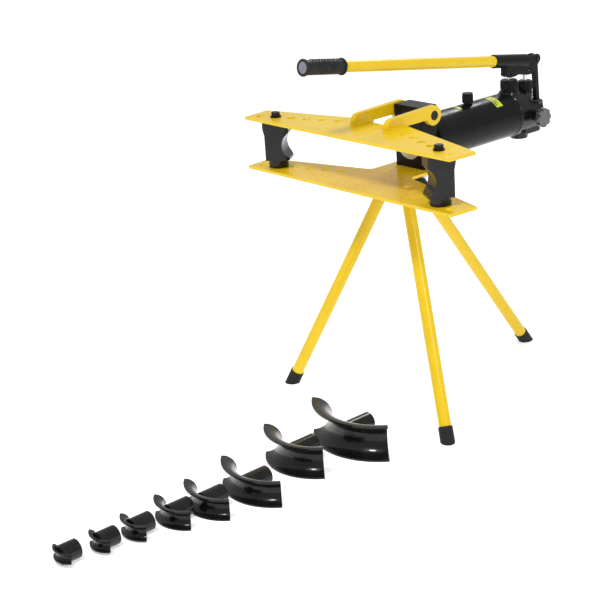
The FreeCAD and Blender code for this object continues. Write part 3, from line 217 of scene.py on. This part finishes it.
def ring_data(centre, axis, radius, thick, swell=0.0, lobes=0, around=72, section=10):
    """A torus about an axis; with lobes its section swells and shrinks along it, as a weld's does."""
    first, second = across(axis)
    verts, faces = [], []
    for i in range(around):
        turn = 2 * math.pi * i / around
        out = first * math.cos(turn) + second * math.sin(turn)
        size = thick * (1 + swell * math.sin(lobes * turn))
        for j in range(section):
            roll = 2 * math.pi * j / section
            verts.append(centre + out * (radius + size * math.cos(roll)) + axis * size * math.sin(roll))
    for i in range(around):
        for j in range(section):
            a, b = i * section, ((i + 1) % around) * section
            k = (j + 1) % section
            faces.append((a + j, b + j, b + k, a + k))
    return verts, faces


def bead_data(start, end, thick, ripple, swell=0.16, section=10):
    """A straight weld bead with the ripples that each dab of metal leaves and round ends."""
    along = end - start
    length = along.length
    along.normalize()
    first, second = across(along)
    steps = max(12, int(length / ripple * 6))
    verts, faces = [], []
    for i in range(steps + 1):
        part = i / steps
        size = thick * (1 + swell * math.sin(2 * math.pi * part * length / ripple))
        from_end = min(part, 1 - part) * length
        if from_end < thick:
            size *= math.sqrt(max(0.04, 1 - (1 - from_end / thick) ** 2))
        for j in range(section):
            roll = 2 * math.pi * j / section
            out = first * math.cos(roll) + second * math.sin(roll)
            verts.append(start + along * part * length + out * size)
    for i in range(steps):
        for j in range(section):
            k = (j + 1) % section
            faces.append((i * section + j, (i + 1) * section + j, (i + 1) * section + k, i * section + k))
    faces.append(tuple(range(section)))
    faces.append(tuple(steps * section + j for j in range(section)))
    return verts, faces


def knurl_data(centre, axis, radius, length, count, height):
    """Straight ridges round a cap, each with a sharp crest and ends that run out."""
    first, second = across(axis)
    verts, faces = [], []
    half_turn = math.pi / count * 0.8
    for i in range(count):
        turn = 2 * math.pi * i / count
        base = len(verts)
        for at, rise in ((-0.5, 0.0), (-0.42, 1.0), (0.42, 1.0), (0.5, 0.0)):
            for lean, share in ((-half_turn, 0.0), (0.0, rise), (half_turn, 0.0)):
                angle = turn + lean
                out = first * math.cos(angle) + second * math.sin(angle)
                verts.append(centre + axis * length * at + out * (radius - 0.2 * MM + height * share))
        for row in range(3):
            for column in range(2):
                a = base + row * 3 + column
                faces.append((a, a + 1, a + 4, a + 3))
            a = base + row * 3
            faces.append((a, a + 3, a + 5, a + 2))
        faces.append((base, base + 2, base + 1))
        faces.append((base + 9, base + 10, base + 11))
    return verts, faces


def strip_data(radius, back, width, first_angle, last_angle, thick, steps=16):
    """A thin band bent round the tank, whose ends are given as turns from straight up."""
    verts, faces = [], []
    for i in range(steps + 1):
        turn = math.radians(first_angle + (last_angle - first_angle) * i / steps)
        out = Vector((math.sin(turn), 0, math.cos(turn)))
        for reach, along in ((radius, back), (radius + thick, back), (radius + thick, back + width),
                             (radius, back + width)):
            verts.append(out * reach + Vector((0, along, 0)))
    for i in range(steps):
        for j in range(4):
            k = (j + 1) % 4
            faces.append((i * 4 + j, (i + 1) * 4 + j, (i + 1) * 4 + k, i * 4 + k))
    faces.append((0, 1, 2, 3))
    faces.append(tuple(steps * 4 + j for j in range(4)))
    return verts, faces


def middle(node):
    low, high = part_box(node)
    return (Vector(low) + Vector(high)) / 2, Vector(high) - Vector(low)


UP, BACK = Vector((0, 0, 1)), Vector((0, 1, 0))
KNURL_SHARE, KNURL_RISE, KNURL_HEIGHT = 0.62, 1.0 * MM, 0.8 * MM
COLLAR_WELD, COLLAR_SWELL, COLLAR_RIPPLES = 1.6 * MM, 0.18, 90
WELD_SIZE, WELD_RIPPLE, WELD_LIFT = 2.4 * MM, 4.5 * MM, 0.6 * MM
WELD_SETBACK, WELD_BACK = 10 * MM, -66 * MM
HANDLE_RISE = math.radians(9.0)
RIB_COUNT, RIB_FIRST, RIB_PITCH = 11, 20, 10
RIB_RADIUS, RIB_SIZE = 19.3 * MM, 0.9 * MM
BAR_SINK, BAR_THICK = 0.35 * MM, 0.15 * MM
# Each label bar: distance along the label and width in mm, then the turns from the top where it starts
# and ends, in degrees.
LABEL_BARS = ((3, 3.2, 8, 42), (9, 1.2, 8, 40), (12, 1.2, 8, 30), (15, 1.2, 8, 38), (19, 2.2, 8, 22))


def caps():
    for node, body, count in (("main_barrel_cap", "stand", 40), ("fast_barrel_cap", "stand", 34),
                              ("filler_cap", "filler_cap", 30)):
        centre, size = middle(node)
        centre += UP * KNURL_RISE
        ridges = knurl_data(centre, UP, size.x / 2, size.z * KNURL_SHARE, count, KNURL_HEIGHT)
        piece(node + "_knurl", ridges, body, "black_paint", smooth=False)


def welds():
    wing_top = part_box("top_wing")[1][2]
    for side in ("left", "right"):
        low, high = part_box("top_arm_" + side)
        front = low[1] + WELD_SETBACK
        for edge, x in (("inner", low[0]), ("outer", high[0])):
            height = wing_top + WELD_LIFT
            start, end = Vector((x, front, height)), Vector((x, WELD_BACK, height))
            bead = bead_data(start, end, WELD_SIZE, WELD_RIPPLE)
            piece(f"weld_{side}_{edge}", bead, "top_wing", "yellow_paint")
    collar_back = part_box("tank_collar")[1][1]
    radius = middle("tank")[1].x / 2
    bead = ring_data(Vector((0, collar_back, 0)), BACK, radius, COLLAR_WELD, COLLAR_SWELL, COLLAR_RIPPLES,
                     around=540, section=8)
    piece("weld_collar", bead, "stand", "black_paint")


def grip():
    way = Vector((0, -math.cos(HANDLE_RISE), math.sin(HANDLE_RISE)))
    centre = middle("grip_plug")[0]
    for number in range(RIB_COUNT):
        spot = centre - way * (RIB_FIRST + RIB_PITCH * number) * MM
        piece(f"grip_rib_{number + 1}", ring_data(spot, way, RIB_RADIUS, RIB_SIZE), "lever", "grip")


def label_bars():
    radius = middle("tank")[1].x / 2 + BAR_SINK
    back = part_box("tank_label")[0][1]
    for number, (along, width, first_angle, last_angle) in enumerate(LABEL_BARS):
        bar = strip_data(radius, back + along * MM, width * MM, first_angle, last_angle, BAR_THICK)
        piece(f"label_bar_{number + 1}", bar, "stand", "black_paint", smooth=False)


caps()
welds()
grip()
label_bars()

# ------------------------------------------------------------------------------------------------
# stage, light and camera

FLOOR_REACH, FLOOR_GLOW = 60.0, 0.42
CAMERA_PLACE = Vector((2.8533, -2.8305, 1.0408))
YAW, PITCH, ROLL = (math.radians(angle) for angle in (49.7, 20.1, 3.9))
LENS, SENSOR, CLIP_END = 91.45, 36.0, 60
AIM = (0.0, -0.3, -0.2)
# Each lamp: name, place, diameter in metres and power in watts.
LAMPS = (("key", (0.6, -2.4, 3.2), 0.7, 85), ("fill", (3.2, -0.6, 1.6), 0.8, 26),
         ("back", (-1.5, 2.6, 2.4), 1.0, 40))
WORLD_STRENGTH = 0.62


def stage():
    mesh = bpy.data.meshes.new("floor")
    side = FLOOR_REACH
    mesh.from_pydata([(-side, -side, floor_z), (side, -side, floor_z), (side, side, floor_z),
                      (-side, side, floor_z)], [], [(0, 1, 2, 3)])
    obj = bpy.data.objects.new("floor", mesh)
    bpy.context.scene.collection.objects.link(obj)
    g = Graph("pale_floor")
    colour = g.ramp(g.noise(3.0, 3.0), [(0.3, (0.95, 0.95, 0.95)), (0.7, (0.96, 0.96, 0.96))])
    g.set(Emission_Color=(1.0, 1.0, 1.0, 1.0), Emission_Strength=FLOOR_GLOW, Specular_IOR_Level=0.1)
    mesh.materials.append(g.done(colour, g.grey(g.noise(5.0), 0.6, 0.8)))


def area_light(name, place, target, size, power):
    data = bpy.data.lights.new(name, "AREA")
    data.shape = "DISK"
    data.size = size
    data.energy = power
    obj = bpy.data.objects.new(name, data)
    bpy.context.scene.collection.objects.link(obj)
    obj.location = place
    obj.rotation_euler = (Vector(target) - Vector(place)).to_track_quat("-Z", "Y").to_euler()


def camera():
    """Looks from the front right and above, with a slight roll."""
    forward = Vector((-math.sin(YAW) * math.cos(PITCH), math.cos(YAW) * math.cos(PITCH), -math.sin(PITCH)))
    right = Vector((math.cos(YAW), math.sin(YAW), 0))
    down = forward.cross(right)
    level = math.cos(ROLL) * right + math.sin(ROLL) * down
    drop = -math.sin(ROLL) * right + math.cos(ROLL) * down
    data = bpy.data.cameras.new("camera")
    data.sensor_width = SENSOR
    data.lens = LENS
    data.clip_end = CLIP_END
    obj = bpy.data.objects.new("camera", data)
    bpy.context.scene.collection.objects.link(obj)
    turn = Matrix((level, -drop, -forward)).transposed().to_4x4()
    obj.matrix_world = Matrix.Translation(CAMERA_PLACE) @ turn
    bpy.context.scene.camera = obj


stage()
for lamp, place, size, power in LAMPS:
    area_light(lamp, place, AIM, size, power)
world = bpy.data.worlds.new("studio")
world.use_nodes = True
world.node_tree.nodes["Background"].inputs["Color"].default_value = (1.0, 1.0, 1.0, 1.0)
world.node_tree.nodes["Background"].inputs["Strength"].default_value = WORLD_STRENGTH
bpy.context.scene.world = world
bpy.context.scene.view_settings.view_transform = "Standard"
camera()
